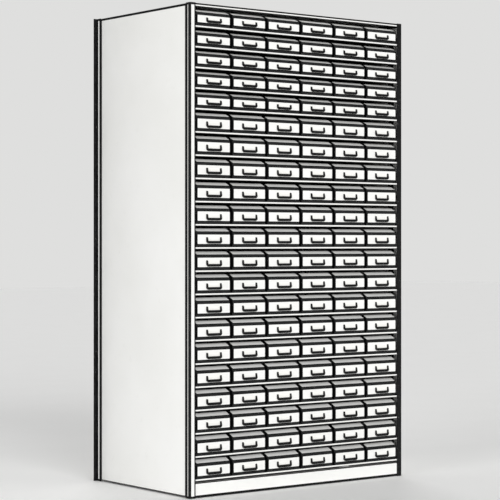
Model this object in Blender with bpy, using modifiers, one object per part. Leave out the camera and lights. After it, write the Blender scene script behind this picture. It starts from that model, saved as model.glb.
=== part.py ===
"""Steel card catalog cabinet: lipped shelves between corner posts, carrying twenty-one tiers of six card trays.

X runs across the cabinet, Y from its front to its back and Z up. The origin is on the floor, at the middle
of the cabinet's outline. Run it with: blender --background --python part.py
"""

import bmesh
import bpy
from mathutils import Matrix

# Driving dimensions, in metres.
HEIGHT = 2.134  # corner posts, from the floor
WIDTH = 1.232  # across the corner posts
DEPTH = 0.735  # corner posts, front plane to rear plane
GAP = 0.0003  # between pieces that touch

POST_SHEET = 0.002
FRONT_FLANGE = 0.029
SIDE_FLANGE = 0.032
FIXING_FLANGE = 0.019  # of the rear posts, outwards, for fixing to a wall or a neighbour
SHEET = 0.001
PANEL_DROP = 0.012  # side panel's top edge below the posts' tops
PANEL_RISE = 0.008  # side panel's bottom edge above the floor

COLUMNS = 6
TALL_TIERS = 16
LOW_TIERS = 5  # the uppermost ones
TALL_PITCH = 0.1000
LOW_PITCH = 0.0889
TOP_EDGE = 0.0170  # depth of the top panel's turned-down front edge
KICK_GAP = 0.008  # between the kick plate and the lowest lip
LIP = 0.010  # height of a shelf's front lip
LIP_GAP = 0.009  # under a lip, above the trays' noses
SHELF_GROUPS = (5, 4, 4, 4, 4)  # shelves on each set of hangers, from the lowest
HANGER_WIDTH = 0.030
HANGER_SHEET = 0.002
HANGER_INSET = 0.020  # from the front post's flange, and from the shelf's rear edge

TRAY_GAP = 0.016  # between neighbouring trays
TRAY_LENGTH = 0.700
TRAY_SHEET = 0.0012
FACE_RISE = 0.009  # lower edge of a tray's face above its shelf
FACE_DEPTH = 0.006  # the face stands this far in front of the tray's body
GROOVE = 0.010  # between the face and the sloped nose
NOSE_SETBACK = 0.003  # of the nose's lower edge, from the face
NOSE_DEPTH = 0.033
NOSE_RISE = 0.0150
LOW_NOSE_RISE = 0.0130
SIDE_HEIGHT = 0.050  # of a tray's side and rear walls
GUIDE_HEIGHT = 0.004  # of the ribs between the trays
GUIDE_PLAY = 0.001  # between a rib and the tray beside it

PULL_WIDTH_SHARE = 0.46  # of the face's width
PULL_TOP_SHARE = 0.72  # of the face's height, from its lower edge
PULL_BOTTOM_SHARE = 0.20
PULL_RIM = 0.005
PULL_OUT = 0.009  # how far the finger lip stands proud of the face
PULL_TOP_OUT = 0.002

TIE_BAR_HEIGHT = 0.012
TIE_BAR_INSET = 0.004  # below the rear walls' top edges, and from the outermost trays' sides

SEPARATE_COLUMN = 1  # its trays slide one by one in every tier
SEPARATE_TIER = 10  # all of its trays slide one by one, counted from the top

# Places worked out from the dimensions.
TIERS = TALL_TIERS + LOW_TIERS
FRONT = -(DEPTH - PULL_OUT) / 2
REAR = FRONT + DEPTH
HALF = WIDTH / 2
STACK = TALL_TIERS * TALL_PITCH + LOW_TIERS * LOW_PITCH - LIP  # lowest shelf to the top panel's edge
LOWEST_SHELF = HEIGHT - TOP_EDGE - STACK
KICK_HEIGHT = LOWEST_SHELF - LIP - KICK_GAP
COLUMN_PITCH = (WIDTH - 2 * FRONT_FLANGE) / COLUMNS
FACE_WIDTH = COLUMN_PITCH - TRAY_GAP
PANEL_OUTER = HALF - POST_SHEET - GAP
PANEL_INNER = PANEL_OUTER - SHEET
PLATE_FRONT = FRONT + POST_SHEET + GAP  # fronts of the lips, top edge and kick plate, behind the post flanges
TRAY_REAR = FRONT + TRAY_LENGTH
SHELF_REAR = REAR - POST_SHEET - GAP - SHEET - GAP

WHITE = (0.80, 0.80, 0.79, 1.0)


def shelf_top(tier):
    """Height of the shelf surface that carries a tier. Tier 1 is the uppermost."""
    below = TIERS - tier
    return LOWEST_SHELF + min(below, TALL_TIERS) * TALL_PITCH + max(below - TALL_TIERS, 0) * LOW_PITCH


def tier_pitch(tier):
    return LOW_PITCH if tier <= LOW_TIERS else TALL_PITCH


def column_middle(column):
    return (column - (COLUMNS + 1) / 2) * COLUMN_PITCH


def collection(name):
    made = bpy.data.collections.new(name)
    bpy.context.scene.collection.children.link(made)
    return made


def steel(name, colour, roughness):
    material = bpy.data.materials.new(name)
    material.use_nodes = True
    shader = material.node_tree.nodes["Principled BSDF"]
    shader.inputs["Base Color"].default_value = colour
    shader.inputs["Roughness"].default_value = roughness
    shader.inputs["Metallic"].default_value = 0.0
    return material


def place(mesh, name, material, group, location=(0, 0, 0)):
    """An object that holds a mesh, in a collection."""
    part = bpy.data.objects.new(name, mesh)
    part.location = location
    if material:
        mesh.materials.append(material)
    group.objects.link(part)
    return part


def box(name, low, high, material, group):
    """A block between two corners, with its origin at its middle."""
    middle = [(a + b) / 2 for a, b in zip(low, high)]
    size = [b - a for a, b in zip(low, high)]
    shape = bmesh.new()
    bmesh.ops.create_cube(shape, size=1.0, matrix=Matrix.Diagonal((*size, 1)))
    mesh = bpy.data.meshes.new(name)
    shape.to_mesh(mesh)
    shape.free()
    return place(mesh, name, material, group, middle)


def pan(name, low, high, open_side, material, group):
    """A folded sheet cover: a block's outer faces without the open one, thickened inwards."""
    part = box(name, low, high, material, group)
    shape = bmesh.new()
    shape.from_mesh(part.data)
    away = [face for face in shape.faces if face.normal.dot(open_side) > 0.5]
    bmesh.ops.delete(shape, geom=away, context="FACES")
    shape.to_mesh(part.data)
    shape.free()
    wall = part.modifiers.new("sheet", "SOLIDIFY")
    wall.thickness = SHEET
    wall.offset = -1
    wall.use_even_offset = True
    return part


def prism(name, outline, length, turn):
    """A mesh of a flat outline drawn out to a length, both ways from its plane, then turned."""
    curve = bpy.data.curves.new(name, "CURVE")
    curve.dimensions = "2D"
    curve.fill_mode = "BOTH"
    curve.extrude = length / 2
    spline = curve.splines.new("POLY")
    spline.points.add(len(outline) - 1)
    for point, (u, v) in zip(spline.points, outline):
        point.co = (u, v, 0, 1)
    spline.use_cyclic_u = True
    guide = bpy.data.objects.new(name, curve)
    bpy.context.scene.collection.objects.link(guide)
    bpy.context.view_layer.update()
    seen = guide.evaluated_get(bpy.context.evaluated_depsgraph_get())
    mesh = bpy.data.meshes.new_from_object(seen)
    bpy.data.objects.remove(guide)
    bpy.data.curves.remove(curve)
    mesh.materials.clear()
    shape = bmesh.new()
    shape.from_mesh(mesh)
    bmesh.ops.remove_doubles(shape, verts=shape.verts, dist=0.00001)
    bmesh.ops.transform(shape, matrix=turn, verts=shape.verts)
    bmesh.ops.dissolve_limit(shape, angle_limit=0.001, verts=shape.verts, edges=shape.edges)
    bmesh.ops.recalc_face_normals(shape, faces=shape.faces)
    shape.to_mesh(mesh)
    shape.free()
    return mesh


# The turns carry an outline's u and v to the axes named, and its length to the third.
UPRIGHT = Matrix.Identity(4)  # u along X, v along Y, drawn out along Z
ACROSS = Matrix(((0, 0, 1, 0), (1, 0, 0, 0), (0, 1, 0, 0), (0, 0, 0, 1)))  # u along Y, v along Z
INWARD = Matrix(((1, 0, 0, 0), (0, 0, -1, 0), (0, 1, 0, 0), (0, 0, 0, 1)))  # u along X, v along Z


def cut_or_join(part, other, operation):
    change = part.modifiers.new(other.name, "BOOLEAN")
    change.operation = operation
    change.solver = "EXACT"
    change.object = other


def helper(mesh, name, group, location=(0, 0, 0)):
    """A shape that only cuts or joins others."""
    part = place(mesh, name, None, group, location)
    part.hide_render = True
    part.display_type = "WIRE"
    return part


def corner_posts(group, paint):
    """Folded angles. The rear ones have a further flange that turns outwards."""
    for side, hand in ((-1, "left"), (1, "right")):
        outer = side * HALF
        inner = side * (HALF - POST_SHEET)
        flange = side * (HALF - FRONT_FLANGE)
        fixing = side * (HALF + FIXING_FLANGE)
        front = [
            (outer, FRONT),
            (flange, FRONT),
            (flange, FRONT + POST_SHEET),
            (inner, FRONT + POST_SHEET),
            (inner, FRONT + SIDE_FLANGE),
            (outer, FRONT + SIDE_FLANGE),
        ]
        rear = [
            (fixing, REAR),
            (flange, REAR),
            (flange, REAR - POST_SHEET),
            (inner, REAR - POST_SHEET),
            (inner, REAR - SIDE_FLANGE),
            (outer, REAR - SIDE_FLANGE),
            (outer, REAR - POST_SHEET),
            (fixing, REAR - POST_SHEET),
        ]
        for end, outline in (("front", front), ("rear", rear)):
            name = f"corner_post_{end}_{hand}"
            place(prism(name, outline, HEIGHT, UPRIGHT), name, paint, group, (0, 0, HEIGHT / 2))


def covers(group, paint):
    """The side, back and top panels and the kick plate, all behind the posts' flanges."""
    rear_plate = REAR - POST_SHEET - GAP
    for side, hand in ((-1, "left"), (1, "right")):
        low, high = sorted((side * PANEL_INNER, side * PANEL_OUTER))
        box(
            f"side_panel_{hand}",
            (low, PLATE_FRONT, PANEL_RISE),
            (high, rear_plate, HEIGHT - PANEL_DROP),
            paint,
            group,
        )
    reach = PANEL_INNER - GAP
    box(
        "back_panel",
        (-reach, rear_plate - SHEET, PANEL_RISE),
        (reach, rear_plate, HEIGHT - PANEL_DROP),
        paint,
        group,
    )
    pan(
        "top_panel",
        (-reach, PLATE_FRONT, HEIGHT - TOP_EDGE),
        (reach, rear_plate - SHEET - GAP, HEIGHT - 0.001),
        (0, 0, -1),
        paint,
        group,
    )
    pan(
        "kick_plate",
        (-reach, PLATE_FRONT, 0.001),
        (reach, PLATE_FRONT + SIDE_FLANGE, KICK_HEIGHT),
        (0, 1, 0),
        paint,
        group,
    )


def shelf_section():
    """A shelf's section across the cabinet: a flat sheet with a low guide rib between each two trays."""
    reach = PANEL_INNER - GAP
    section = [(-reach, -SHEET), (reach, -SHEET), (reach, 0)]
    for column in range(COLUMNS - 1, 0, -1):
        middle = (column - COLUMNS / 2) * COLUMN_PITCH
        foot = TRAY_GAP / 2 - GUIDE_PLAY
        crest = foot - GUIDE_HEIGHT / 2
        section += [
            (middle + foot, 0),
            (middle + crest, GUIDE_HEIGHT),
            (middle - crest, GUIDE_HEIGHT),
            (middle - foot, 0),
        ]
    return section + [(-reach, 0)]


def shelf_racks(group, cutters, paint):
    """Sets of lipped shelves, each set held by four upright hangers inside the side panels."""
    length = SHELF_REAR - PLATE_FRONT
    reach = PANEL_INNER - GAP
    hanger_places = (FRONT + SIDE_FLANGE + HANGER_INSET, SHELF_REAR - HANGER_WIDTH - HANGER_INSET)
    lowest = TIERS
    for number, count in enumerate(SHELF_GROUPS, 1):
        tiers = range(lowest, lowest - count, -1)
        name = f"shelf_rack_{number}"
        rack = bmesh.new()
        for tier in tiers:
            plate = prism("shelf", shelf_section(), length, INWARD)
            plate.transform(Matrix.Translation((0, (PLATE_FRONT + SHELF_REAR) / 2, shelf_top(tier))))
            rack.from_mesh(plate)
            bpy.data.meshes.remove(plate)
        mesh = bpy.data.meshes.new(name)
        rack.to_mesh(mesh)
        rack.free()
        part = place(mesh, name, paint, group)
        fittings = bmesh.new()
        bottom = shelf_top(tiers[0]) - LIP
        top = shelf_top(tiers[-1]) + GUIDE_HEIGHT
        for tier in tiers:
            low = (-reach, PLATE_FRONT, shelf_top(tier) - LIP)
            add_block(fittings, low, (reach, PLATE_FRONT + SHEET, shelf_top(tier) - SHEET / 2))
        for side in (-1, 1):
            across = sorted((side * reach, side * (reach - HANGER_SHEET)))
            for near in hanger_places:
                add_block(fittings, (across[0], near, bottom), (across[1], near + HANGER_WIDTH, top))
        extra = bpy.data.meshes.new(name + "_fittings")
        fittings.to_mesh(extra)
        fittings.free()
        cut_or_join(part, helper(extra, name + "_fittings", cutters), "UNION")
        lowest -= count


def add_block(shape, low, high):
    """A closed block between two corners, added to a bmesh."""
    middle = [(a + b) / 2 for a, b in zip(low, high)]
    size = [b - a for a, b in zip(low, high)]
    matrix = Matrix.Translation(middle) @ Matrix.Diagonal((*size, 1))
    bmesh.ops.create_cube(shape, size=1.0, matrix=matrix)


def tray_mesh(tier):
    """One card tray, about its column's middle and its shelf's surface: walls, face, sloped nose and pull."""
    pitch = tier_pitch(tier)
    rise = LOW_NOSE_RISE if tier <= LOW_TIERS else NOSE_RISE
    face_top = pitch - LIP - LIP_GAP - rise - GROOVE
    nose_foot = face_top + GROOVE
    nose_top = nose_foot + rise
    floor = GAP
    body = FRONT + FACE_DEPTH
    nose_rear = FRONT + NOSE_DEPTH
    wall = TRAY_SHEET
    above = pitch  # the hollow is open upwards
    outline = [
        (body, floor),
        (body, FACE_RISE),
        (FRONT, FACE_RISE),
        (FRONT, face_top),
        (body, face_top),
        (body, nose_foot),
        (FRONT + NOSE_SETBACK, nose_foot),
        (nose_rear, nose_top),
        (nose_rear, nose_top - wall),
        (nose_rear + nose_top - SIDE_HEIGHT, SIDE_HEIGHT),
        (TRAY_REAR, SIDE_HEIGHT),
        (TRAY_REAR, floor),
    ]
    inside = [
        (body + wall, floor + wall),
        (body + wall, nose_foot),
        (nose_rear, nose_top - wall),
        (nose_rear + wall, above),
        (TRAY_REAR - wall, above),
        (TRAY_REAR - wall, floor + wall),
    ]
    shell = prism("tray", outline, FACE_WIDTH, ACROSS)
    hollow = prism("hollow", inside, FACE_WIDTH - 2 * wall, ACROSS)
    half = FACE_WIDTH * PULL_WIDTH_SHARE / 2
    face_height = face_top - FACE_RISE
    low = FACE_RISE + PULL_BOTTOM_SHARE * face_height
    high = FACE_RISE + PULL_TOP_SHARE * face_height
    rim = [
        (-half, high),
        (-half, low),
        (half, low),
        (half, high),
        (half - PULL_RIM, high),
        (half - PULL_RIM, low + PULL_RIM),
        (PULL_RIM - half, low + PULL_RIM),
        (PULL_RIM - half, high),
    ]
    pull = prism("pull", rim, PULL_OUT + 0.001, INWARD)
    pull.transform(Matrix.Translation((0, FRONT - PULL_OUT / 2 + 0.0005, 0)))
    for vertex in pull.vertices:  # the rim stands out further towards its lower edge
        if vertex.co.y < FRONT:
            drop = (high - vertex.co.z) / (high - low)
            vertex.co.y = FRONT - PULL_TOP_OUT - (PULL_OUT - PULL_TOP_OUT) * min(drop, 1)
    scratch = bpy.context.scene.collection
    part = place(shell, "tray", None, scratch)
    tools = [place(hollow, "hollow", None, scratch), place(pull, "pull", None, scratch)]
    cut_or_join(part, tools[0], "DIFFERENCE")
    cut_or_join(part, tools[1], "UNION")
    bpy.context.view_layer.update()
    seen = part.evaluated_get(bpy.context.evaluated_depsgraph_get())
    mesh = bpy.data.meshes.new_from_object(seen)
    mesh.materials.clear()
    for done in (part, *tools):
        bpy.data.objects.remove(done)
    return mesh


def trays(group, cutters, paint):
    """The trays of one column and one tier are separate. The other five of each tier are a bank on one tie bar."""
    shapes = {pitch: tray_mesh(tier) for pitch, tier in ((LOW_PITCH, 1), (TALL_PITCH, TIERS))}
    for tier in range(1, TIERS + 1):
        shape = shapes[tier_pitch(tier)]
        height = shelf_top(tier)
        alone = range(1, COLUMNS + 1) if tier == SEPARATE_TIER else [SEPARATE_COLUMN]
        for column in alone:
            name = f"drawer_row{tier:02d}_col{column}"
            place(shape.copy(), name, paint, group, (column_middle(column), 0, height))
        if tier == SEPARATE_TIER:
            continue
        bank = bmesh.new()
        columns = [c for c in range(1, COLUMNS + 1) if c != SEPARATE_COLUMN]
        middle = (column_middle(columns[0]) + column_middle(columns[-1])) / 2
        for column in columns:
            copy = shape.copy()
            copy.transform(Matrix.Translation((column_middle(column) - middle, 0, 0)))
            bank.from_mesh(copy)
            bpy.data.meshes.remove(copy)
        name = f"drawers_row{tier:02d}_cols{columns[0]}to{columns[-1]}"
        mesh = bpy.data.meshes.new(name)
        bank.to_mesh(mesh)
        bank.free()
        part = place(mesh, name, paint, group, (middle, 0, height))
        bar = bmesh.new()
        across = (columns[-1] - columns[0]) * COLUMN_PITCH / 2 + FACE_WIDTH / 2 - TIE_BAR_INSET
        low = (-across, TRAY_REAR - TRAY_SHEET / 2, SIDE_HEIGHT - TIE_BAR_INSET - TIE_BAR_HEIGHT)
        add_block(bar, low, (across, TRAY_REAR + TRAY_SHEET, SIDE_HEIGHT - TIE_BAR_INSET))
        bar_mesh = bpy.data.meshes.new(name + "_tie_bar")
        bar.to_mesh(bar_mesh)
        bar.free()
        cut_or_join(part, helper(bar_mesh, name + "_tie_bar", cutters, (middle, 0, height)), "UNION")


def main():
    for old in list(bpy.data.objects):
        bpy.data.objects.remove(old)
    cabinet = collection("card_catalog_cabinet")
    cutters = collection("cutters")
    corner_posts(cabinet, steel("post_enamel", WHITE, 0.35))
    covers(cabinet, steel("panel_enamel", WHITE, 0.35))
    shelf_racks(cabinet, cutters, steel("shelf_enamel", WHITE, 0.4))
    trays(cabinet, cutters, steel("tray_enamel", WHITE, 0.35))


main()
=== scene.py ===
import math

import bmesh
import bpy
from mathutils import Matrix, Vector


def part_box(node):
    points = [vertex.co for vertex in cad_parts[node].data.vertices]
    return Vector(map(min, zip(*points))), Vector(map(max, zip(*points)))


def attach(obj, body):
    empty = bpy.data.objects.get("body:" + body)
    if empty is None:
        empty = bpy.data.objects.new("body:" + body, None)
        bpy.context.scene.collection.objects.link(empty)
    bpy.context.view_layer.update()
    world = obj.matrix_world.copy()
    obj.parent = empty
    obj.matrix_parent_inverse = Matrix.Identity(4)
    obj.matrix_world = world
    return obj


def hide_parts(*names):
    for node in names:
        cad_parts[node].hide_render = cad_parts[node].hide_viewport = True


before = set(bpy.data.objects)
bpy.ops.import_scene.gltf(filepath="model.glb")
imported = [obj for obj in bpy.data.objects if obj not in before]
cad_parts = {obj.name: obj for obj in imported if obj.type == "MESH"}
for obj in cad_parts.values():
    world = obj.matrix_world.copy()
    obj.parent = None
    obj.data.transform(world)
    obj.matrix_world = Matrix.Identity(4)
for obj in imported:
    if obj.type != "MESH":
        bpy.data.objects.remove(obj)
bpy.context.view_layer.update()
print("frame loaded:", len(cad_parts), "nodes")


def hexColour(code):  # sRGB hex to the linear values that a shader takes
    channels = [int(code[n : n + 2], 16) / 255 for n in (1, 3, 5)]
    return (*[c / 12.92 if c <= 0.04045 else ((c + 0.055) / 1.055) ** 2.4 for c in channels], 1.0)


def addNode(tree, kind, inputs, **settings):  # an input is a value, or a node with the name of its output
    node = tree.nodes.new(kind)
    for key, value in settings.items():
        setattr(node, key, value)
    for key, value in inputs.items():
        if isinstance(value, tuple) and isinstance(value[0], bpy.types.Node):
            tree.links.new(value[0].outputs[value[1]], node.inputs[key])
        else:
            node.inputs[key].default_value = value
    return node


def startMaterial(name):  # gives the material, its node tree and where a pattern reads its place
    material = bpy.data.materials.new(name)
    material.use_nodes = True
    tree = material.node_tree
    tree.nodes.clear()
    return material, tree, (addNode(tree, "ShaderNodeTexCoord", {}), "Object")


# Sizes in the looks are widths in metres, and a noise's scale is one over its size. In a colour mix,
# input 0 is the share of the second colour, inputs 6 and 7 are the two colours and output 2 is the result.
evenly = {"From Min": 0.35, "From Max": 0.65}  # where most of a noise's values lie

whiteEnamelLook = {
    "bright": "#f7f7f5",
    "dull": "#f1f1ee",
    "grime": "#c9c8c2",
    "cloud": 0.50,  # slow change of shade over a panel
    "handling": 0.035,
    "soil": 0.12,  # most that a handling mark hides of the white
    "rough": (0.30, 0.46),
    "wave": 0.16,  # the sheet itself isn't quite flat
    "waveDepth": 0.004,
    "peel": 0.005,  # coarser than real orange peel, which wouldn't show
    "peelDepth": 0.0006,
    "coat": 0.1,
}


def whiteEnamel():  # stove enamel sprayed on sheet steel: white, satin, with faint orange peel and soiling
    look = whiteEnamelLook
    material, tree, place = startMaterial("white_stove_enamel")
    cloud = addNode(
        tree,
        "ShaderNodeTexNoise",
        {"Vector": place, "Scale": 1 / look["cloud"], "Detail": 3.0},
    )
    shade = addNode(tree, "ShaderNodeMapRange", {"Value": (cloud, "Fac"), **evenly})
    ground = addNode(
        tree,
        "ShaderNodeMix",
        {0: (shade, "Result"), 6: hexColour(look["bright"]), 7: hexColour(look["dull"])},
        data_type="RGBA",
    )
    marks = addNode(
        tree,
        "ShaderNodeTexNoise",
        {"Vector": place, "Scale": 1 / look["handling"], "Detail": 6.0, "Roughness": 0.6},
    )
    soiled = addNode(
        tree,
        "ShaderNodeMapRange",
        {"Value": (marks, "Fac"), "From Min": 0.60, "From Max": 0.80, "To Max": look["soil"]},
    )
    colour = addNode(
        tree,
        "ShaderNodeMix",
        {0: (soiled, "Result"), 6: (ground, 2), 7: hexColour(look["grime"])},
        data_type="RGBA",
    )
    polish = addNode(
        tree,
        "ShaderNodeMapRange",
        {"Value": (marks, "Fac"), **evenly, "To Min": look["rough"][0], "To Max": look["rough"][1]},
    )
    wave = addNode(
        tree,
        "ShaderNodeTexNoise",
        {"Vector": place, "Scale": 1 / look["wave"], "Detail": 1.0},
    )
    sheet = addNode(
        tree,
        "ShaderNodeBump",
        {"Strength": 0.5, "Distance": look["waveDepth"], "Height": (wave, "Fac")},
    )
    peel = addNode(
        tree,
        "ShaderNodeTexNoise",
        {"Vector": place, "Scale": 1 / look["peel"], "Detail": 1.0},
    )
    bump = addNode(
        tree,
        "ShaderNodeBump",
        {
            "Strength": 0.5,
            "Distance": look["peelDepth"],
            "Height": (peel, "Fac"),
            "Normal": (sheet, "Normal"),
        },
    )
    shader = addNode(
        tree,
        "ShaderNodeBsdfPrincipled",
        {
            "Base Color": (colour, 2),
            "Roughness": (polish, "Result"),
            "Normal": (bump, "Normal"),
            "Coat Weight": look["coat"],
            "Coat Roughness": 0.15,
        },
    )
    addNode(tree, "ShaderNodeOutputMaterial", {"Surface": (shader, "BSDF")})
    return material


liningAndShadeLook = {
    "black": "#0a0a0b",
    "thin": "#1d1e20",
    "chip": "#8d8c88",
    "patch": 0.035,
    "thinning": 0.8,
    "nick": 0.006,
    "nickDepth": 0.0003,
    "chipping": 0.75,
    "rough": (0.46, 0.66),
    "shine": 0.15,
}


def liningAndShadeEnamel():  # black lining brushed along every edge of the white sheets: satin, thin and nicked. Part of it is painted shade: it widens the dark gaps between parts, and on the right front post it covers the whole front flange as painted shadow
    look = liningAndShadeLook
    material, tree, place = startMaterial("black_lining_and_painted_shade")
    patches = addNode(
        tree,
        "ShaderNodeTexNoise",
        {"Vector": place, "Scale": 1 / look["patch"], "Detail": 4.0, "Roughness": 0.6},
    )
    share = addNode(
        tree,
        "ShaderNodeMapRange",
        {"Value": (patches, "Fac"), "From Min": 0.45, "From Max": 0.75, "To Max": look["thinning"]},
    )
    colour = addNode(
        tree,
        "ShaderNodeMix",
        {0: (share, "Result"), 6: hexColour(look["black"]), 7: hexColour(look["thin"])},
        data_type="RGBA",
    )
    nicks = addNode(
        tree,
        "ShaderNodeTexNoise",
        {"Vector": place, "Scale": 1 / look["nick"], "Detail": 2.0, "Roughness": 0.6},
    )
    chipped = addNode(
        tree,
        "ShaderNodeMapRange",
        {"Value": (nicks, "Fac"), "From Min": 0.67, "From Max": 0.75, "To Max": look["chipping"]},
    )
    worn = addNode(
        tree,
        "ShaderNodeMix",
        {0: (chipped, "Result"), 6: (colour, 2), 7: hexColour(look["chip"])},
        data_type="RGBA",
    )
    rough = addNode(
        tree,
        "ShaderNodeMapRange",
        {"Value": (patches, "Fac"), **evenly, "To Min": look["rough"][0], "To Max": look["rough"][1]},
    )
    bump = addNode(
        tree,
        "ShaderNodeBump",
        {"Strength": 0.3, "Distance": look["nickDepth"], "Height": (nicks, "Fac")},
    )
    shader = addNode(
        tree,
        "ShaderNodeBsdfPrincipled",
        {
            "Base Color": (worn, 2),
            "Roughness": (rough, "Result"),
            "Normal": (bump, "Normal"),
            "Specular IOR Level": look["shine"],
        },
    )
    addNode(tree, "ShaderNodeOutputMaterial", {"Surface": (shader, "BSDF")})
    return material


charcoalEnamelLook = {
    "deep": "#0d0e0f",
    "worn": "#26282a",
    "cloud": 0.12,
    "scuff": 0.018,
    "scuffing": 0.8,
    "drag": 0.12,  # a scuff is stretched to one over this along the tray
    "peel": 0.004,
    "peelDepth": 0.0004,
    "rough": (0.48, 0.66),
    "shine": 0.3,
}


def charcoalEnamel():  # dipped charcoal enamel of tray bodies and shelves: dark, dull, scuffed by sliding
    look = charcoalEnamelLook
    material, tree, place = startMaterial("charcoal_dipped_enamel")
    cloud = addNode(
        tree,
        "ShaderNodeTexNoise",
        {"Vector": place, "Scale": 1 / look["cloud"], "Detail": 3.0},
    )
    along = addNode(tree, "ShaderNodeMapping", {"Vector": place, "Scale": (1.0, look["drag"], 1.0)})
    scuffs = addNode(
        tree,
        "ShaderNodeTexNoise",
        {"Vector": (along, "Vector"), "Scale": 1 / look["scuff"], "Detail": 5.0, "Roughness": 0.65},
    )
    scuffed = addNode(
        tree,
        "ShaderNodeMapRange",
        {"Value": (scuffs, "Fac"), "From Min": 0.55, "From Max": 0.80, "To Max": look["scuffing"]},
    )
    colour = addNode(
        tree,
        "ShaderNodeMix",
        {0: (scuffed, "Result"), 6: hexColour(look["deep"]), 7: hexColour(look["worn"])},
        data_type="RGBA",
    )
    rough = addNode(
        tree,
        "ShaderNodeMapRange",
        {"Value": (cloud, "Fac"), **evenly, "To Min": look["rough"][0], "To Max": look["rough"][1]},
    )
    peel = addNode(
        tree,
        "ShaderNodeTexNoise",
        {"Vector": place, "Scale": 1 / look["peel"], "Detail": 1.0},
    )
    bump = addNode(
        tree,
        "ShaderNodeBump",
        {"Strength": 0.3, "Distance": look["peelDepth"], "Height": (peel, "Fac")},
    )
    shader = addNode(
        tree,
        "ShaderNodeBsdfPrincipled",
        {
            "Base Color": (colour, 2),
            "Roughness": (rough, "Result"),
            "Normal": (bump, "Normal"),
            "Specular IOR Level": look["shine"],
        },
    )
    addNode(tree, "ShaderNodeOutputMaterial", {"Surface": (shader, "BSDF")})
    return material


greyPrimerLook = {
    "grey": "#b4b7b8",
    "rubbed": "#cbcccb",
    "stain": "#a0a3a4",
    "cloud": 0.15,
    "scuff": 0.010,
    "rubbing": 0.6,
    "drag": 0.08,  # a scuff is stretched to one over this along the tray
    "grain": 0.003,
    "grainDepth": 0.0003,
    "rough": (0.75, 0.5),
}


def greyPrimer():  # stoved grey primer left bare inside the trays: matt, rubbed in streaks by the cards
    look = greyPrimerLook
    material, tree, place = startMaterial("grey_stoved_primer")
    cloud = addNode(
        tree,
        "ShaderNodeTexNoise",
        {"Vector": place, "Scale": 1 / look["cloud"], "Detail": 4.0},
    )
    stained = addNode(tree, "ShaderNodeMapRange", {"Value": (cloud, "Fac"), **evenly})
    ground = addNode(
        tree,
        "ShaderNodeMix",
        {0: (stained, "Result"), 6: hexColour(look["grey"]), 7: hexColour(look["stain"])},
        data_type="RGBA",
    )
    along = addNode(tree, "ShaderNodeMapping", {"Vector": place, "Scale": (1.0, look["drag"], 1.0)})
    scuffs = addNode(
        tree,
        "ShaderNodeTexNoise",
        {"Vector": (along, "Vector"), "Scale": 1 / look["scuff"], "Detail": 5.0, "Roughness": 0.65},
    )
    scuffed = addNode(
        tree,
        "ShaderNodeMapRange",
        {"Value": (scuffs, "Fac"), "From Min": 0.50, "From Max": 0.78, "To Max": look["rubbing"]},
    )
    colour = addNode(
        tree,
        "ShaderNodeMix",
        {0: (scuffed, "Result"), 6: (ground, 2), 7: hexColour(look["rubbed"])},
        data_type="RGBA",
    )
    rough = addNode(
        tree,
        "ShaderNodeMapRange",
        {"Value": (scuffs, "Fac"), **evenly, "To Min": look["rough"][0], "To Max": look["rough"][1]},
    )
    grain = addNode(
        tree,
        "ShaderNodeTexNoise",
        {"Vector": place, "Scale": 1 / look["grain"], "Detail": 2.0},
    )
    bump = addNode(
        tree,
        "ShaderNodeBump",
        {"Strength": 0.3, "Distance": look["grainDepth"], "Height": (grain, "Fac")},
    )
    shader = addNode(
        tree,
        "ShaderNodeBsdfPrincipled",
        {"Base Color": (colour, 2), "Roughness": (rough, "Result"), "Normal": (bump, "Normal")},
    )
    addNode(tree, "ShaderNodeOutputMaterial", {"Surface": (shader, "BSDF")})
    return material


blackJapanLook = {
    "black": "#050505",
    "rubbed": "#171513",
    "wear": 0.009,
    "rubbing": 0.7,
    "rough": (0.42, 0.60),
    "shine": 0.2,
}


def blackJapan():  # black japanned steel of the label holders: satin black, browner where fingers rub it
    look = blackJapanLook
    material, tree, place = startMaterial("black_japanned_steel")
    wear = addNode(
        tree,
        "ShaderNodeTexNoise",
        {"Vector": place, "Scale": 1 / look["wear"], "Detail": 4.0, "Roughness": 0.6},
    )
    share = addNode(
        tree,
        "ShaderNodeMapRange",
        {"Value": (wear, "Fac"), "From Min": 0.52, "From Max": 0.75, "To Max": look["rubbing"]},
    )
    colour = addNode(
        tree,
        "ShaderNodeMix",
        {0: (share, "Result"), 6: hexColour(look["black"]), 7: hexColour(look["rubbed"])},
        data_type="RGBA",
    )
    rough = addNode(
        tree,
        "ShaderNodeMapRange",
        {"Value": (wear, "Fac"), **evenly, "To Min": look["rough"][0], "To Max": look["rough"][1]},
    )
    shader = addNode(
        tree,
        "ShaderNodeBsdfPrincipled",
        {"Base Color": (colour, 2), "Roughness": (rough, "Result"), "Specular IOR Level": look["shine"]},
    )
    addNode(tree, "ShaderNodeOutputMaterial", {"Surface": (shader, "BSDF")})
    return material


labelCardLook = {
    "paper": "#fafaf7",
    "aged": "#efede6",
    "fibre": 0.0025,
    "fibreDepth": 0.0002,
    "ageing": 0.6,
    "rough": 0.9,
}


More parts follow.
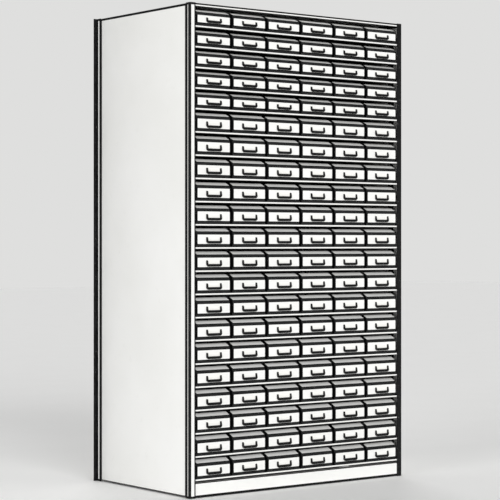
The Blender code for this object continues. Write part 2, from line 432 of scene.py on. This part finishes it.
def labelCard():  # uncoated card in the label holders: matt and faintly fibrous
    look = labelCardLook
    material, tree, place = startMaterial("uncoated_label_card")
    fibre = addNode(
        tree,
        "ShaderNodeTexNoise",
        {"Vector": place, "Scale": 1 / look["fibre"], "Detail": 4.0, "Roughness": 0.7},
    )
    share = addNode(
        tree,
        "ShaderNodeMapRange",
        {"Value": (fibre, "Fac"), **evenly, "To Max": look["ageing"]},
    )
    colour = addNode(
        tree,
        "ShaderNodeMix",
        {0: (share, "Result"), 6: hexColour(look["paper"]), 7: hexColour(look["aged"])},
        data_type="RGBA",
    )
    bump = addNode(
        tree,
        "ShaderNodeBump",
        {"Strength": 0.2, "Distance": look["fibreDepth"], "Height": (fibre, "Fac")},
    )
    shader = addNode(
        tree,
        "ShaderNodeBsdfPrincipled",
        {"Base Color": (colour, 2), "Roughness": look["rough"], "Normal": (bump, "Normal")},
    )
    addNode(tree, "ShaderNodeOutputMaterial", {"Surface": (shader, "BSDF")})
    return material


zincLook = {"bright": "#9fa3a6", "dull": "#6f7376", "patch": 0.004, "rough": (0.25, 0.42)}


def zincPlate():  # zinc plating of the screws: grey metal with a soft cloudy shine
    look = zincLook
    material, tree, place = startMaterial("zinc_plated_steel")
    patch = addNode(
        tree,
        "ShaderNodeTexNoise",
        {"Vector": place, "Scale": 1 / look["patch"], "Detail": 3.0},
    )
    share = addNode(tree, "ShaderNodeMapRange", {"Value": (patch, "Fac"), **evenly})
    colour = addNode(
        tree,
        "ShaderNodeMix",
        {0: (share, "Result"), 6: hexColour(look["bright"]), 7: hexColour(look["dull"])},
        data_type="RGBA",
    )
    rough = addNode(
        tree,
        "ShaderNodeMapRange",
        {"Value": (patch, "Fac"), **evenly, "To Min": look["rough"][0], "To Max": look["rough"][1]},
    )
    shader = addNode(
        tree,
        "ShaderNodeBsdfPrincipled",
        {"Base Color": (colour, 2), "Metallic": 1.0, "Roughness": (rough, "Result")},
    )
    addNode(tree, "ShaderNodeOutputMaterial", {"Surface": (shader, "BSDF")})
    return material


rubberLook = {
    "fresh": "#161617",
    "bloomed": "#303132",
    "bloom": 0.05,
    "blooming": 0.8,
    "skin": 0.003,
    "skinDepth": 0.0003,
    "rough": (0.62, 0.80),
}


def sealRubber():  # extruded EPDM strip beside the posts: matt black with a faint grey bloom
    look = rubberLook
    material, tree, place = startMaterial("extruded_epdm_rubber")
    bloom = addNode(
        tree,
        "ShaderNodeTexNoise",
        {"Vector": place, "Scale": 1 / look["bloom"], "Detail": 4.0, "Roughness": 0.6},
    )
    share = addNode(
        tree,
        "ShaderNodeMapRange",
        {"Value": (bloom, "Fac"), "From Min": 0.45, "From Max": 0.75, "To Max": look["blooming"]},
    )
    colour = addNode(
        tree,
        "ShaderNodeMix",
        {0: (share, "Result"), 6: hexColour(look["fresh"]), 7: hexColour(look["bloomed"])},
        data_type="RGBA",
    )
    rough = addNode(
        tree,
        "ShaderNodeMapRange",
        {"Value": (bloom, "Fac"), **evenly, "To Min": look["rough"][0], "To Max": look["rough"][1]},
    )
    skin = addNode(
        tree,
        "ShaderNodeTexNoise",
        {"Vector": place, "Scale": 1 / look["skin"], "Detail": 2.0},
    )
    bump = addNode(
        tree,
        "ShaderNodeBump",
        {"Strength": 0.2, "Distance": look["skinDepth"], "Height": (skin, "Fac")},
    )
    shader = addNode(
        tree,
        "ShaderNodeBsdfPrincipled",
        {"Base Color": (colour, 2), "Roughness": (rough, "Result"), "Normal": (bump, "Normal")},
    )
    addNode(tree, "ShaderNodeOutputMaterial", {"Surface": (shader, "BSDF")})
    return material


paperLook = {"bright": "#fcfcfb", "dull": "#fbfbfa", "cloud": 0.4, "rough": 0.9}


def seamlessPaper():  # matt paper under the cabinet, without any shine
    look = paperLook
    material, tree, place = startMaterial("seamless_paper")
    cloud = addNode(
        tree,
        "ShaderNodeTexNoise",
        {"Vector": place, "Scale": 1 / look["cloud"], "Detail": 2.0},
    )
    share = addNode(tree, "ShaderNodeMapRange", {"Value": (cloud, "Fac"), **evenly})
    colour = addNode(
        tree,
        "ShaderNodeMix",
        {0: (share, "Result"), 6: hexColour(look["bright"]), 7: hexColour(look["dull"])},
        data_type="RGBA",
    )
    shader = addNode(
        tree,
        "ShaderNodeBsdfPrincipled",
        {"Base Color": (colour, 2), "Roughness": look["rough"], "Specular IOR Level": 0.0},
    )
    addNode(tree, "ShaderNodeOutputMaterial", {"Surface": (shader, "BSDF")})
    return material


paints = {
    "rubber": sealRubber(),
    "white": whiteEnamel(),
    "edge": liningAndShadeEnamel(),
    "charcoal": charcoalEnamel(),
    "primer": greyPrimer(),
    "black": blackJapan(),
    "card": labelCard(),
    "zinc": zincPlate(),
    "paper": seamlessPaper(),
}
print("materials ready:", len(paints))

facing = 0.9  # a normal with more than this along an axis faces that way
cutEdge = 1.2  # a face narrower than this many thicknesses of its sheet is a cut edge
nearly = 0.001  # places closer than this count as one


def addBox(shape, low, high, materialIndex=0):  # a block between two corners; gives its faces
    low, high = Vector(low), Vector(high)
    matrix = Matrix.Translation((low + high) / 2) @ Matrix.Diagonal((*(high - low), 1))
    made = bmesh.ops.create_cube(shape, size=1.0, matrix=matrix)
    faces = list(dict.fromkeys(face for vert in made["verts"] for face in vert.link_faces))
    for face in faces:
        face.material_index = materialIndex
    return faces


def edgesOf(faces):
    return list(dict.fromkeys(edge for face in faces for edge in face.edges))


def roundEdges(shape, edges, radius, steps, materialIndex=-1):
    bmesh.ops.bevel(
        shape,
        geom=edges,
        offset=radius,
        offset_type="OFFSET",
        segments=steps,
        profile=0.5,
        affect="EDGES",
        material=materialIndex,
        clamp_overlap=True,
    )


def cutAcross(shape, axis, at):  # a cut right through the shape, square to the axis
    plane, normal = [0, 0, 0], [0, 0, 0]
    plane[axis], normal[axis] = at, 1
    everything = list(shape.verts) + list(shape.edges) + list(shape.faces)
    bmesh.ops.bisect_plane(shape, geom=everything, plane_co=plane, plane_no=normal)


def lineBands(shape, bands, sheet=0.0):  # strips get the lining, and so do the cut edges of a sheet
    for axis, start, end in bands:
        cutAcross(shape, axis, start)
        cutAcross(shape, axis, end)
    bmesh.ops.dissolve_degenerate(shape, dist=0.00001, edges=shape.edges)
    shape.normal_update()
    for face in shape.faces:
        middle = face.calc_center_median()
        width = face.calc_area() / max(edge.calc_length() for edge in face.edges)
        lined = width < sheet * cutEdge
        for axis, start, end in bands:
            lined |= abs(face.normal[axis]) < facing and start < middle[axis] < end
        if lined:
            face.material_index = 1


def toMesh(shape, name, colours, sharpAngle=35):
    bmesh.ops.recalc_face_normals(shape, faces=shape.faces)
    mesh = bpy.data.meshes.new(name)
    shape.to_mesh(mesh)
    shape.free()
    for colour in colours:
        mesh.materials.append(paints[colour])
    mesh.shade_smooth()
    mesh.set_sharp_from_angle(angle=math.radians(sharpAngle))
    return mesh


def addPiece(mesh, name, body):  # a piece at the origin that rides on a body
    piece = bpy.data.objects.new(name, mesh)
    mesh.name = name
    bpy.context.scene.collection.objects.link(piece)
    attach(piece, body)
    return piece


def moved(mesh, place):  # a copy with its place in its mesh
    copy = mesh.copy()
    copy.transform(Matrix.Translation(place))
    return copy


def foldedStrip(points, height, thickness, bend, steps):  # a sheet folded along a plan, drawn upwards
    shape = bmesh.new()
    verts = [shape.verts.new((x, y, 0)) for x, y in points]
    edges = [shape.edges.new(pair) for pair in zip(verts, verts[1:])]
    bmesh.ops.bevel(
        shape,
        geom=verts[1:-1],
        offset=bend,
        offset_type="OFFSET",
        segments=steps,
        profile=0.5,
        affect="VERTICES",
        material=-1,
    )
    drawn = bmesh.ops.extrude_edge_only(shape, edges=list(shape.edges))["geom"]
    raised = [item for item in drawn if isinstance(item, bmesh.types.BMVert)]
    bmesh.ops.translate(shape, verts=raised, vec=(0, 0, height))
    bmesh.ops.recalc_face_normals(shape, faces=shape.faces)
    bmesh.ops.solidify(shape, geom=list(shape.faces), thickness=thickness)
    return shape


trayLook = {
    "pullOut": 0.009,
    "faceRise": 0.009,
    "faceDepth": 0.006,
    "groove": 0.010,
    "noseSetback": 0.003,
    "noseDepth": 0.033,
    "noseShare": 0.186,  # of the tray's height
    "sideHeight": 0.050,
    "underNose": 0.003,  # the body stays this far below the nose's top
    "sheet": 0.0012,
    "hem": 0.004,
    "hemDrop": 0.003,
    "corner": 0.004,
    "blockInset": 0.002,  # of the block behind the face
    "blockFront": 0.0018,
    "blockBite": 0.0005,  # into the tray's front
    "blockRound": 0.0008,
}
tierCount, columnCount, openTier = 21, 6, 10
columnBoxes = [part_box(f"drawer_row{openTier:02d}_col{column}") for column in range(1, columnCount + 1)]
columnMiddles = [(low.x + high.x) / 2 for low, high in columnBoxes]
trayWidth = columnBoxes[0][1].x - columnBoxes[0][0].x
trayFront = columnBoxes[0][0].y + trayLook["pullOut"]
trayRear = columnBoxes[0][1].y
tierBoxes = {tier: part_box(f"drawer_row{tier:02d}_col1") for tier in range(1, tierCount + 1)}


def bodyOf(tier, column):
    if column == 1 or tier == openTier:
        return f"drawer_row{tier:02d}_col{column}"
    return f"drawers_row{tier:02d}_cols2to6"


def noseProfile(height):  # where the sloped nose starts and ends, above the tray's floor
    rise = height * trayLook["noseShare"]
    return height - rise, height


def trayBody(height):  # open tray: floor, hemmed walls that rise under the nose, block behind the face
    look = trayLook
    foot, top = noseProfile(height)
    front = trayFront + look["faceDepth"]
    rise = trayFront + look["noseDepth"]
    fall = rise + top - look["sideHeight"]
    half = trayWidth / 2
    shape = bmesh.new()
    addBox(shape, (-half, front, 0), (half, trayRear, top))
    cutAcross(shape, 1, rise)
    cutAcross(shape, 1, fall)
    lids = [face for face in shape.faces if face.normal.z > facing]
    bmesh.ops.delete(shape, geom=lids, context="FACES")
    for vert in shape.verts:
        if vert.co.z > look["sideHeight"]:
            if vert.co.y < rise - nearly:
                vert.co.z = foot
            elif vert.co.y < fall - nearly:
                vert.co.z = top - look["underNose"]
            else:
                vert.co.z = look["sideHeight"]
    corners = [
        edge
        for edge in shape.edges
        if abs(edge.verts[0].co.z - edge.verts[1].co.z) > look["sideHeight"] / 2
        and min(vert.co.y for vert in edge.verts) > trayRear - nearly
    ]
    roundEdges(shape, corners, look["corner"], 2)
    rim = [
        edge
        for edge in shape.edges
        if edge.is_boundary and min(vert.co.y for vert in edge.verts) > fall - nearly
    ]
    for inward, down in ((look["hem"], 0), (0, look["hemDrop"])):
        drawn = bmesh.ops.extrude_edge_only(shape, edges=rim)["geom"]
        fresh = [item for item in drawn if isinstance(item, bmesh.types.BMVert)]
        rim = [
            item
            for item in drawn
            if isinstance(item, bmesh.types.BMEdge)
            and item.is_boundary
            and item.verts[0] in fresh
            and item.verts[1] in fresh
        ]
        for vert in fresh:
            vert.co.x -= math.copysign(inward, vert.co.x)
            if vert.co.y > trayRear - look["corner"] - nearly / 2:
                vert.co.y -= inward
            vert.co.z -= down
    bmesh.ops.recalc_face_normals(shape, faces=shape.faces)
    bmesh.ops.solidify(shape, geom=list(shape.faces), thickness=look["sheet"])
    shape.normal_update()
    heart = Vector((0, (front + trayRear) / 2, look["sideHeight"] / 2))
    small = look["hem"] * trayWidth * 1.2  # faces below this area, such as the rear hem's, stay charcoal
    for face in shape.faces:  # the inside is left in primer
        inward = face.normal.dot(heart - face.calc_center_median()) > 0
        face.material_index = 1 if inward and face.calc_area() > small else 0
    inset = look["blockInset"]
    behind = addBox(
        shape,
        (inset - half, trayFront + look["blockFront"], look["faceRise"] + inset),
        (half - inset, front + look["blockBite"], foot - look["groove"] - inset),
    )
    roundEdges(shape, edgesOf(behind), look["blockRound"], 1)
    return toMesh(shape, "trayBody", ["charcoal", "primer"])


frontLook = {
    "plate": 0.0024,
    "crown": 0.0008,
    "corner": 0.0045,
    # the lining round each face and nose is black edging that also serves as painted shade, deepening the
    # dark gaps between trays
    "lining": 0.0032,
    "noseLining": 0.0024,
    "sharpAngle": 12,
}


def linedPlate(width, height, lining):  # rounded plate at y = 0 that faces -Y, crowned inside its lining
    look = frontLook
    shape = bmesh.new()
    sides = addBox(shape, (-width / 2, look["crown"], 0), (width / 2, look["plate"], height), 1)
    depth = look["plate"] - look["crown"]
    corners = [
        edge for edge in edgesOf(sides) if abs(edge.verts[0].co.y - edge.verts[1].co.y) > depth / 2
    ]
    roundEdges(shape, corners, look["corner"], 2, 1)
    shape.normal_update()
    front = [face for face in shape.faces if face.normal.y < -facing]
    bmesh.ops.inset_region(shape, faces=front, thickness=lining, depth=look["crown"], use_even_offset=True)
    for face in front:
        face.material_index = 0
    return shape


def trayFace(height):  # the enamelled face plate and the sloped nose above it
    look = frontLook
    foot, top = noseProfile(height)
    faceHeight = foot - trayLook["groove"] - trayLook["faceRise"]
    shape = linedPlate(trayWidth, faceHeight, look["lining"])
    bmesh.ops.translate(shape, verts=shape.verts, vec=(0, trayFront, trayLook["faceRise"]))
    depth = trayLook["noseDepth"] - trayLook["noseSetback"]
    nose = linedPlate(trayWidth, math.hypot(top - foot, depth), look["noseLining"])
    lean = Matrix.Rotation(-math.atan2(depth, top - foot), 4, "X")
    place = Matrix.Translation((0, trayFront + trayLook["noseSetback"], foot))
    bmesh.ops.transform(nose, matrix=place @ lean, verts=nose.verts)
    sloped = bpy.data.meshes.new("nose")
    nose.to_mesh(sloped)
    nose.free()
    shape.from_mesh(sloped)
    bpy.data.meshes.remove(sloped)
    return toMesh(shape, "trayFace", ["white", "edge"], look["sharpAngle"])


pullLook = {
    "width": 0.46,  # of the face
    "top": 0.69,  # of the face's height, from its lower edge
    "bottom": 0.155,
    "rim": 0.0090,
    "corner": 0.009,
    "topOut": 0.002,
    "short": 0.0004,  # the lip ends this far inside the whole depth
    "sweep": 1.5,  # the higher, the later the rim bends out towards its lip
    "heavier": 0.0018,  # of its lower side
    "round": 0.0009,
    "cardIn": 0.0045,  # the card starts under the rim
    "cardProud": 0.0015,  # above the rim's ends
    "cardThickness": 0.0006,
    "seat": 0.0002,  # clear of the face
}


def labelHolder(height):  # U-shaped rim round a label card; its lower lip stands out as the finger pull
    look = pullLook
    foot = noseProfile(height)[0]
    faceLow = trayLook["faceRise"]
    faceHeight = foot - trayLook["groove"] - faceLow
    low, high = faceLow + look["bottom"] * faceHeight, faceLow + look["top"] * faceHeight
    half = trayWidth * look["width"] / 2
    plan = [(-half, -high), (-half, -low), (half, -low), (half, -high)]
    length = 1.0  # drawn out this far, then brought in to the rim's depth
    shape = foldedStrip(plan, length, look["rim"], look["corner"], 4)
    turn = Matrix(((1, 0, 0, 0), (0, 0, -1, 0), (0, -1, 0, 0), (0, 0, 0, 1)))
    bmesh.ops.transform(shape, matrix=turn, verts=shape.verts)
    for vert in shape.verts:
        drop = min(max((high - vert.co.z) / (high - low), 0.0), 1.0)
        lip = trayLook["pullOut"] - look["short"] - look["topOut"]
        out = look["topOut"] + lip * drop ** look["sweep"]
        vert.co.y = trayFront - (out if vert.co.y < -length / 2 else look["seat"])
        if vert.co.z < low + nearly / 2:
            vert.co.z -= look["heavier"]
    outer = [edge for edge in shape.edges if all(vert.co.y < trayFront - nearly for vert in edge.verts)]
    border = [edge for edge in outer if edge.calc_face_angle(0) > math.radians(50)]
    roundEdges(shape, border, look["round"], 1)
    inside = look["cardIn"]
    card = addBox(
        shape,
        (inside - half, trayFront - look["seat"] - look["cardThickness"], low + inside),
        (half - inside, trayFront - look["seat"], high + look["cardProud"]),
        1,
    )
    roundEdges(shape, edgesOf(card), look["cardThickness"] / 3, 1)
    return toMesh(shape, "labelHolder", ["black", "card"])


patterns = {}
for tier, (low, high) in tierBoxes.items():
    height = round(high.z - low.z, 4)
    if height not in patterns:
        patterns[height] = trayBody(height), trayFace(height), labelHolder(height)
    for column, middle in enumerate(columnMiddles, 1):
        body = bodyOf(tier, column)
        tag = f"row{tier:02d}_col{column}"
        for stem, mesh in zip(("tray", "tray_face", "label_holder"), patterns[height]):
            piece = addPiece(moved(mesh, (middle, 0, low.z)), f"{stem}_{tag}", body)
            if stem == "tray" and (column <= 2 or tier == openTier):  # column 2 is a bank's first tray
                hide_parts(body)
print("trays made:", tierCount * columnCount)

shelfLook = {
    "lip": 0.010,
    "lining": 0.002,
    "back": 0.007,
    "sheet": 0.0010,
    "bend": 0.0012,
    "guideHeight": 0.004,
    "guidePlay": 0.001,
    "guideFront": 0.012,
    "guideRear": 0.010,
    "guideRound": 0.0015,
    "trayPlay": 0.0003,  # under a tray's floor
}


def shelf():  # charcoal pan with ribs between the trays; its enamelled lip turns down and back under
    look = shelfLook
    rackLow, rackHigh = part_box("shelf_rack_1")
    shape = bmesh.new()
    addBox(shape, (rackLow.x, rackLow.y, -look["lip"]), (rackHigh.x, rackHigh.y, 0))
    extra = [
        face
        for face in shape.faces
        if face.normal.z < -facing or face.normal.y > facing or abs(face.normal.x) > facing
    ]
    bmesh.ops.delete(shape, geom=extra, context="FACES")
    fold = [edge for edge in shape.edges if not edge.is_boundary]
    roundEdges(shape, fold, look["bend"] + look["sheet"], 2)
    hem = [
        edge
        for edge in shape.edges
        if edge.is_boundary and all(vert.co.z < -look["lip"] / 2 for vert in edge.verts)
    ]
    drawn = bmesh.ops.extrude_edge_only(shape, edges=hem)["geom"]
    under = [item for item in drawn if isinstance(item, bmesh.types.BMVert)]
    bmesh.ops.translate(shape, verts=under, vec=(0, look["back"], 0))
    bmesh.ops.recalc_face_normals(shape, faces=shape.faces)
    if not any(face.normal.z > facing and face.calc_center_median().z > -nearly for face in shape.faces):
        bmesh.ops.reverse_faces(shape, faces=list(shape.faces))  # the sheet's thickness goes downwards
    bmesh.ops.solidify(shape, geom=list(shape.faces), thickness=look["sheet"])
    lineBands(shape, [(2, look["lining"] - look["lip"], -look["lining"])])
    for face in shape.faces:  # only the front of the lip is white
        if face.calc_center_median().y > rackLow.y + look["sheet"] / 2:
            face.material_index = 0
    for left, right in zip(columnBoxes, columnBoxes[1:]):
        low = (left[1].x + look["guidePlay"], rackLow.y + look["guideFront"], -look["sheet"] / 5)
        high = (right[0].x - look["guidePlay"], rackHigh.y - look["guideRear"], look["guideHeight"])
        rib = addBox(shape, low, high)
        upper = [edge for edge in edgesOf(rib) if all(vert.co.z > 0 for vert in edge.verts)]
        roundEdges(shape, upper, look["guideRound"], 2)
    return toMesh(shape, "shelf", ["charcoal", "white"])


hangerLook = {"width": 0.030, "sheet": 0.0016, "fold": 0.006, "bend": 0.002, "inset": 0.020}


def hangers():  # full-height uprights inside the side panels, with a folded edge
    look = hangerLook
    rackLow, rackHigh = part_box(rackNames[0])
    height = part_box(rackNames[-1])[1].z - rackLow.z
    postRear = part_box("corner_post_front_left")[1].y
    places = {"front": postRear + look["inset"], "rear": rackHigh.y - look["width"] - look["inset"]}
    for side, hand in ((-1, "left"), (1, "right")):
        outer = rackLow.x if side < 0 else rackHigh.x
        for end, near in places.items():
            far = near + look["width"]
            plan = [(outer, near), (outer, far), (outer - side * look["fold"], far)]
            shape = foldedStrip(plan, height, look["sheet"], look["bend"], 2)
            bmesh.ops.translate(shape, verts=shape.verts, vec=(0, 0, rackLow.z))
            for vert in shape.verts:  # kept on the inner side of the panel
                vert.co.x = min(vert.co.x, outer) if side > 0 else max(vert.co.x, outer)
            mesh = toMesh(shape, "hanger", ["charcoal"])
            addPiece(mesh, f"hanger_{end}_{hand}", "cabinet")


rackNames = sorted(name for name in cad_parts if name.startswith("shelf_rack_"))
shelfMesh = shelf()
for tier, (low, high) in tierBoxes.items():
    mesh = moved(shelfMesh, (0, 0, low.z - shelfLook["trayPlay"]))
    piece = addPiece(mesh, f"shelf_{tier:02d}", "cabinet")
    if tier == 1:
        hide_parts(*rackNames)
hangers()
print("shelves made:", tierCount)

postLook = {
    "sheet": 0.002,
    "bend": 0.004,
    "steps": 4,
    "fixing": 0.019,
    "frontLiningAndShade": {"left": 0.0064, "right": 0.0145},  # widths along both edges of the front flange; on the right post the two bands meet and blacken the whole flange as painted shade for its shadowed side
    "sideLining": (0.0145, 0.0135),  # at the corner and at the flange's free edge
    "rearLining": 0.011,
    "rearEdgeLining": 0.0121,
    "endLining": 0.010,
    "flangeRound": 0.0006,
}


def cornerPost(end, hand):  # a folded angle with lined edges; a rear one also has a flange turned outwards
    look = postLook
    name = f"corner_post_{end}_{hand}"
    low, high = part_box(name)
    side = -1 if hand == "left" else 1
    outer = low.x if side < 0 else high.x
    inner = high.x if side < 0 else low.x
    face, back = (low.y, high.y) if end == "front" else (high.y, low.y)
    if end == "rear":
        outer -= side * look["fixing"]
    plan = [(inner, face), (outer, face), (outer, back)]
    if side * (1 if end == "front" else -1) > 0:
        plan.reverse()
    shape = foldedStrip(plan, high.z - low.z, look["sheet"], look["bend"], look["steps"])
    # on the right front post these bands cover the whole front flange: painted shade
    width = look["frontLiningAndShade"][hand] if end == "front" else look["rearLining"]
    bands = [(2, low.z, low.z + look["endLining"]), (2, high.z - look["endLining"], high.z)]
    bands += [(0, *sorted((outer, outer - side * width))), (0, *sorted((inner, inner + side * width)))]
    if end == "front":
        corner, edge = look["sideLining"]
        bands += [(1, face, face + corner), (1, back - edge, back)]
    else:
        bands += [(1, face - width, face), (1, back, back + look["rearEdgeLining"])]
        left, right = sorted((outer - side * look["bend"], outer + side * look["fixing"]))
        flange = addBox(shape, (left, high.y - look["sheet"], low.z), (right, high.y, high.z))
        roundEdges(shape, edgesOf(flange), look["flangeRound"], 1)
        bands += [(0, *sorted((outer, outer + side * look["fixing"])))]
    lineBands(shape, bands, look["sheet"])
    piece = addPiece(toMesh(shape, name, ["white", "edge"]), f"{name}_angle", "cabinet")
    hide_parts(name)


for end in ("front", "rear"):
    for hand in ("left", "right"):
        cornerPost(end, hand)

coverLook = {
    "fold": 0.0025,
    "sheet": 0.001,
    "round": 0.00035,
    "panelLining": 0.002,
    "panLining": {  # of its top, its bottom and its ends
        "top_panel": (0.0075, 0.0035, 0.004),
        "kick_plate": (0.003, 0.011, 0.006),
    },
}


def addCover(shape, name, bands):  # a lined sheet that stands for its node
    lineBands(shape, bands, coverLook["sheet"])
    piece = addPiece(toMesh(shape, name, ["white", "edge"]), f"{name}_sheet", "cabinet")
    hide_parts(name)


def borderBands(low, high, axes, width):  # one band inside each end of a box along the given axes
    starts = [(axis, low[axis], low[axis] + width) for axis in axes]
    return starts + [(axis, high[axis] - width, high[axis]) for axis in axes]


def foldedPan(name, openSide):  # a folded sheet with rounded folds
    low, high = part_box(name)
    top, bottom, ends = coverLook["panLining"][name]
    shape = bmesh.new()
    faces = addBox(shape, low, high)
    extra = [face for face in faces if face.normal.dot(Vector(openSide)) > facing]
    bmesh.ops.delete(shape, geom=extra, context="FACES")
    folds = [edge for edge in shape.edges if not edge.is_boundary]
    roundEdges(shape, folds, coverLook["fold"], 3)
    bmesh.ops.solidify(shape, geom=list(shape.faces), thickness=coverLook["sheet"])
    for face in shape.faces:
        if abs(face.normal.x) > facing:
            face.material_index = 1
    bands = [(2, high.z - top, high.z), (2, low.z, low.z + bottom)]
    addCover(shape, name, bands + borderBands(low, high, (0, 1), ends))


foldedPan("top_panel", (0, 0, -1))
foldedPan("kick_plate", (0, 1, 0))

sealLook = {"width": 0.0065, "thickness": 0.0016, "lift": 0.0001, "gap": 0.0002, "round": 0.0006}


def sidePanel(hand):  # a plain sheet, lined at its foot, with a rubber strip beside each post
    name = f"side_panel_{hand}"
    low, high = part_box(name)
    shape = bmesh.new()
    roundEdges(shape, edgesOf(addBox(shape, low, high)), coverLook["round"], 2)
    addCover(shape, name, [(2, low.z, low.z + coverLook["panelLining"])])
    look = sealLook
    side = -1 if hand == "left" else 1
    surface = low.x if side < 0 else high.x
    across = sorted(surface + side * out for out in (look["lift"], look["lift"] + look["thickness"]))
    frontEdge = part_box(f"corner_post_front_{hand}")[1].y
    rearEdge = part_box(f"corner_post_rear_{hand}")[0].y
    starts = {"front": frontEdge + look["gap"], "rear": rearEdge - look["gap"] - look["width"]}
    for end, start in starts.items():
        seal = bmesh.new()
        strip = addBox(seal, (across[0], start, low.z), (across[1], start + look["width"], high.z))
        upright = [edge for edge in edgesOf(strip) if edge.calc_length() > (high.z - low.z) / 2]
        roundEdges(seal, upright, look["round"], 2)
        addPiece(toMesh(seal, "seal", ["rubber"]), f"panel_seal_{end}_{hand}", "cabinet")


for hand in ("left", "right"):
    sidePanel(hand)

backLook = {
    "swages": 6,
    "swageHeight": 0.022,
    "postOver": 0.010,  # how far the rear posts reach over the sheet
    "reach": 0.045,
    "slope": 0.003,
    "depth": 0.0020,
    "screwIn": 0.025,
}


def backPanel():  # a sheet with pressed swages that stiffen it, lined round its border
    look = backLook
    low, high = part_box("back_panel")
    shape = bmesh.new()
    addBox(shape, low, high)
    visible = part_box("corner_post_rear_right")[0].x - look["postOver"]
    heights = [low.z + (high.z - low.z) * (n + 0.5) / look["swages"] for n in range(look["swages"])]
    half = look["swageHeight"] / 2
    cuts = [(2, at + side * half) for side in (-1, 1) for at in heights]
    cuts += [(0, look["reach"] - visible), (0, visible - look["reach"])]
    for axis, at in cuts:
        cutAcross(shape, axis, at)
    shape.normal_update()
    for at in heights:
        raised = [
            face
            for face in shape.faces
            if face.normal.y > facing
            and abs(face.calc_center_median().z - at) < look["swageHeight"] / 4
            and abs(face.calc_center_median().x) < visible - look["reach"]
        ]
        bmesh.ops.inset_region(shape, faces=raised, thickness=look["slope"], depth=0, use_even_offset=True)
        verts = list(dict.fromkeys(vert for face in raised for vert in face.verts))
        bmesh.ops.translate(shape, verts=verts, vec=(0, look["depth"], 0))
    addCover(shape, "back_panel", borderBands(low, high, (2,), coverLook["panelLining"]))
    return heights, visible


screwLook = {
    "radius": 0.0048,
    "taper": 0.72,
    "height": 0.0017,
    "round": 0.0004,
    "recess": 0.0009,
    "recessRim": 0.30,
    "recessSlope": 0.0003,
    "sides": 16,
}


def panelScrew(name, place):  # a low domed head with a round recess, turned to face +Y
    look = screwLook
    shape = bmesh.new()
    bmesh.ops.create_cone(
        shape,
        cap_ends=True,
        segments=look["sides"],
        radius1=look["radius"],
        radius2=look["radius"] * look["taper"],
        depth=look["height"],
        matrix=Matrix.Translation((0, 0, look["height"] / 2)),
    )
    rims = [edge for edge in shape.edges if all(vert.co.z > look["height"] * 0.9 for vert in edge.verts)]
    roundEdges(shape, rims, look["round"], 2)
    crown = [
        face
        for face in shape.faces
        if len(face.verts) == look["sides"] and face.calc_center_median().z > look["height"] / 2
    ]
    for inward, down in ((look["radius"] * look["recessRim"], 0), (look["recessSlope"], look["recess"])):
        bmesh.ops.inset_region(shape, faces=crown, thickness=inward, depth=-down, use_even_offset=True)
    turn = Matrix.Translation(place) @ Matrix.Rotation(math.radians(-90), 4, "X")
    bmesh.ops.transform(shape, matrix=turn, verts=shape.verts)
    addPiece(toMesh(shape, name, ["zinc"]), name, "cabinet")


swageHeights, backReach = backPanel()
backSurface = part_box("back_panel")[1].y
for row, (below, above) in enumerate(zip(swageHeights, swageHeights[1:]), 1):
    for column, share in enumerate((-1, 0, 1), 1):
        x = share * (backReach - backLook["screwIn"])
        panelScrew(f"back_screw_{row}_{column}", (x, backSurface, (below + above) / 2))
print("posts and covers made")

viewLook = {"eye": (-4.982, -6.411, 1.099), "turn": -37.8, "lens": 125.1, "shift": (0.0, -0.014)}
camera = bpy.data.objects.new("camera", bpy.data.cameras.new("camera"))
bpy.context.scene.collection.objects.link(camera)
camera.location = viewLook["eye"]
camera.rotation_euler = (math.radians(90), 0, math.radians(viewLook["turn"]))
camera.data.lens = viewLook["lens"]
camera.data.shift_x, camera.data.shift_y = viewLook["shift"]
bpy.context.scene.camera = camera

lightLook = {
    "softness": 35,
    "suns": {  # where each comes from, and its strength
        "key": ((-0.25, -0.94, 0.34), 1.52),
        "fill": ((0.45, -0.85, 0.30), 0.4),
        "side": ((-0.95, -0.20, 0.25), 1.05),
        "back": ((0.50, 0.80, 0.35), 1.3),
    },
    "sky": 0.32,
    "backdrop": "#dfdfde",  # what the camera sees beyond the floor
}


def softSun(name, source, strength):  # a wide, far light that falls evenly on the cabinet and the floor
    data = bpy.data.lights.new(name, "SUN")
    data.energy = strength
    data.angle = math.radians(lightLook["softness"])
    lamp = bpy.data.objects.new(name, data)
    bpy.context.scene.collection.objects.link(lamp)
    lamp.rotation_euler = Vector(source).to_track_quat("Z", "Y").to_euler()


for name, (source, strength) in lightLook["suns"].items():
    softSun(name, source, strength)

floorLook = {"size": 30, "drop": 0.0005}


def studioFloor():
    shape = bmesh.new()
    bmesh.ops.create_grid(shape, x_segments=1, y_segments=1, size=floorLook["size"])
    bmesh.ops.translate(shape, verts=shape.verts, vec=(0, 0, -floorLook["drop"]))
    floor = bpy.data.objects.new("floor", toMesh(shape, "floor", ["paper"]))
    bpy.context.scene.collection.objects.link(floor)


studioFloor()
world = bpy.data.worlds.new("studio")
world.use_nodes = True
world.node_tree.nodes.clear()
sky = addNode(
    world.node_tree,
    "ShaderNodeBackground",
    {"Color": hexColour("#ffffff"), "Strength": lightLook["sky"]},
)
seen = addNode(
    world.node_tree,
    "ShaderNodeBackground",
    {"Color": hexColour(lightLook["backdrop"]), "Strength": 1.0},
)
rays = addNode(world.node_tree, "ShaderNodeLightPath", {})
both = addNode(
    world.node_tree,
    "ShaderNodeMixShader",
    {0: (rays, "Is Camera Ray"), 1: (sky, "Background"), 2: (seen, "Background")},
)
addNode(world.node_tree, "ShaderNodeOutputWorld", {"Surface": (both, "Shader")})
bpy.context.scene.world = world
bpy.context.scene.view_settings.view_transform = "Standard"
print("camera, lights and floor ready")
